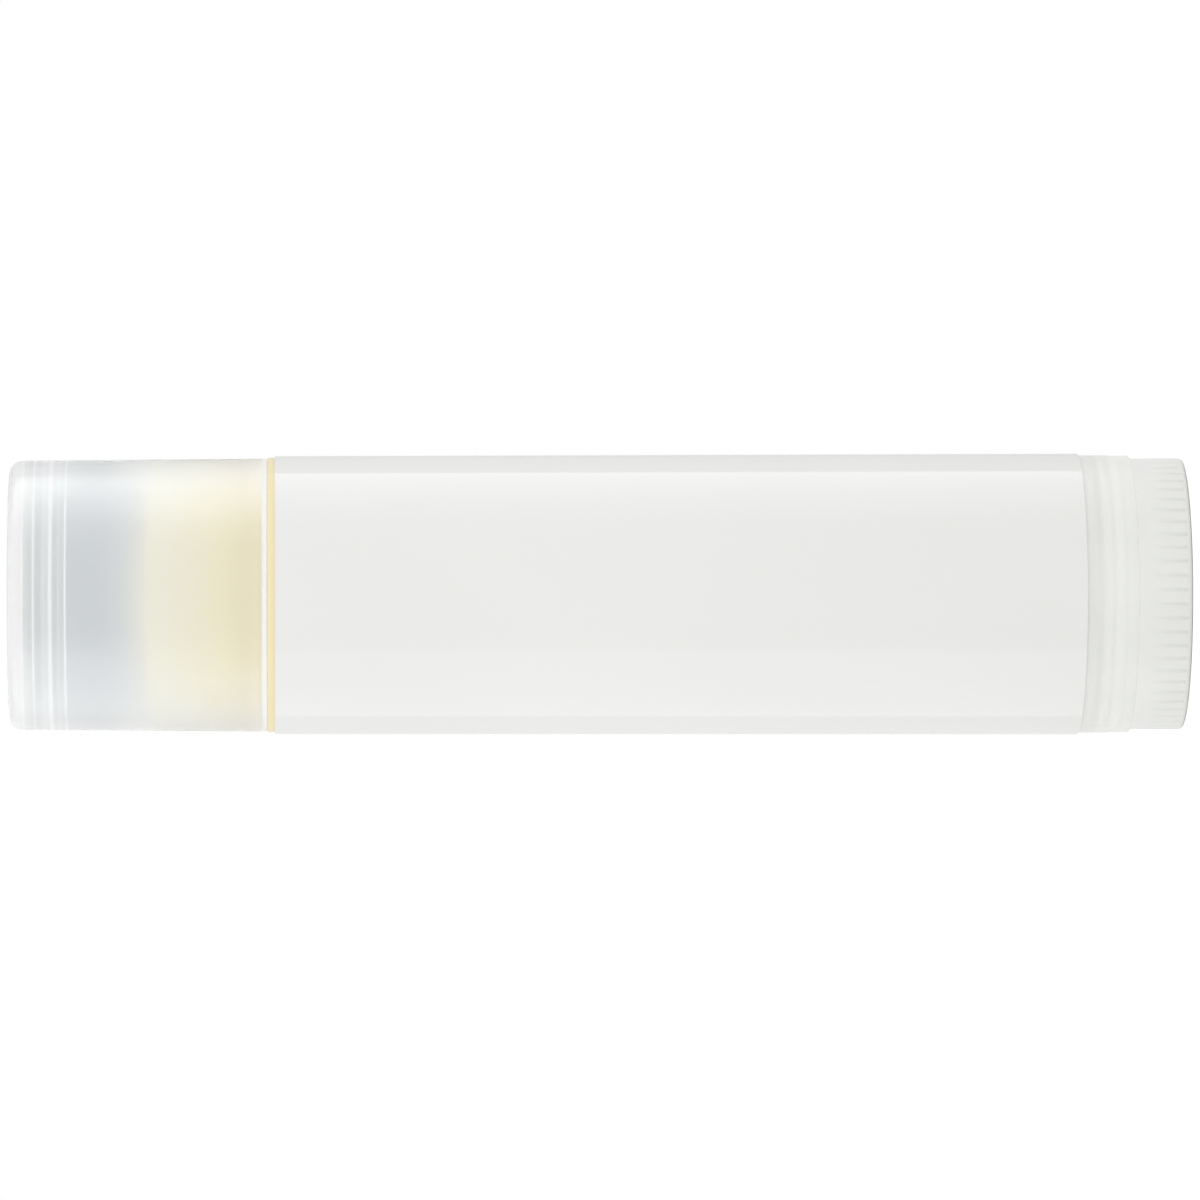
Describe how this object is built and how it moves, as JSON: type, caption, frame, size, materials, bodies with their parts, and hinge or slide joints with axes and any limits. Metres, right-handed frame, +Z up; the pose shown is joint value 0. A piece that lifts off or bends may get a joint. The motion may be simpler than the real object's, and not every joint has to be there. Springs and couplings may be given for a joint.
{
  "type": "lip balm stick",
  "caption": "Slim upright lip balm tube with a translucent push-on cap, a blank wrapped label and a fluted dial whose screw winds the balm up.",
  "frame": {"origin": "middle of the dial's foot, on the surface that the stick stands on", "axes": "+Z up along the barrel's axis, from the dial to the cap; -Y faces the viewer of the picture"},
  "size_m": [0.0162, 0.0163, 0.0671],
  "materials": {
    "barrel": "translucent natural polypropylene, lightly frosted",
    "label": "blank satin white film",
    "dial": "off-white polypropylene, satin",
    "carrier": "white polypropylene",
    "balm": "pale yellow wax balm, satin",
    "cap": "translucent natural polypropylene, lightly frosted"
  },
  "bodies": {
    "barrel": {"barrel": "barrel", "label": "label"},
    "dial": {"dial_screw": "dial"},
    "carrier": {"carrier": "carrier", "balm": "balm"},
    "cap": {"cap": "cap"}
  },
  "joints": [
    {"name": "dial_turn", "type": "hinge", "parent": "barrel", "child": "dial", "pos_m": [0, 0, 0], "axis": [0, 0, 1], "range_deg": [0, 3425]},
    {"name": "carrier_rise", "type": "slide", "parent": "barrel", "child": "carrier", "axis": [0, 0, 1], "range_m": [0, 0.038]},
    {"name": "cap_lift", "type": "slide", "parent": "carrier", "child": "cap", "axis": [0, 0, 1], "range_m": [0, 0.03]}
  ],
  "couplings": [
    {"joint": "dial_turn", "follows": "carrier_rise", "rad_per_m": 1570.8}
  ]
}
